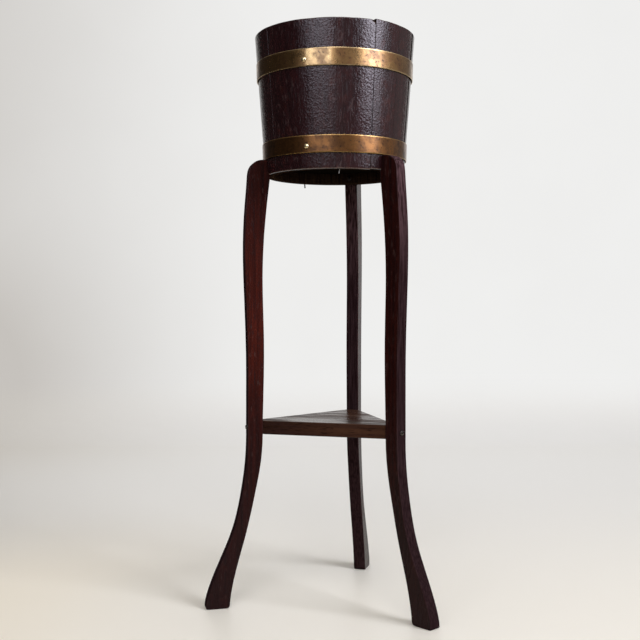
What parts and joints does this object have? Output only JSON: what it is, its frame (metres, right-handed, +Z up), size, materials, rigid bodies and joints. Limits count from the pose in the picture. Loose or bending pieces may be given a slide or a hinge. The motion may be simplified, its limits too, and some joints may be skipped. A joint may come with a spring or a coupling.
{
  "type": "barrel planter",
  "caption": "Coopered oak tub bound with brass hoops, on tall sabre legs tied low down by a three-cornered shelf; holds a potted plant at table height.",
  "frame": {"origin": "on the floor, under the middle of the tub: the middle of the circle through the three feet", "axes": "+Z up along the tub's axis, +Y towards the back leg; the left leg is at 210 degrees and the right leg at 330 degrees about +Z"},
  "size_m": [0.3812, 0.3444, 0.9215],
  "materials": {
    "stained_oak": "dark stained, waxed, worn",
    "bare_oak": "sawn, unfinished, damp-stained",
    "brass": "rolled strip, antique patina",
    "steel": "blackened"
  },
  "bodies": {
    "root": {"floor_board_back": "bare_oak", "floor_board_front": "bare_oak", "floor_board_middle": "bare_oak", "floor_dowels": "bare_oak", "hoop_lower": "brass", "hoop_nails": "brass", "hoop_rivets": "brass", "hoop_upper": "brass", "leg_back": "stained_oak", "leg_left": "stained_oak", "leg_right": "stained_oak", "leg_screws": "steel", "rim_brads": "steel", "shelf": "stained_oak", "shelf_screws": "steel", "stave_01": "stained_oak", "stave_02": "stained_oak", "stave_03": "stained_oak", "stave_04": "stained_oak", "stave_05": "stained_oak", "stave_06": "stained_oak", "stave_07": "stained_oak", "stave_08": "stained_oak", "stave_09": "stained_oak", "stave_10": "stained_oak", "stave_11": "stained_oak", "stave_12": "stained_oak", "stave_13": "stained_oak"}
  },
  "joints": []
}
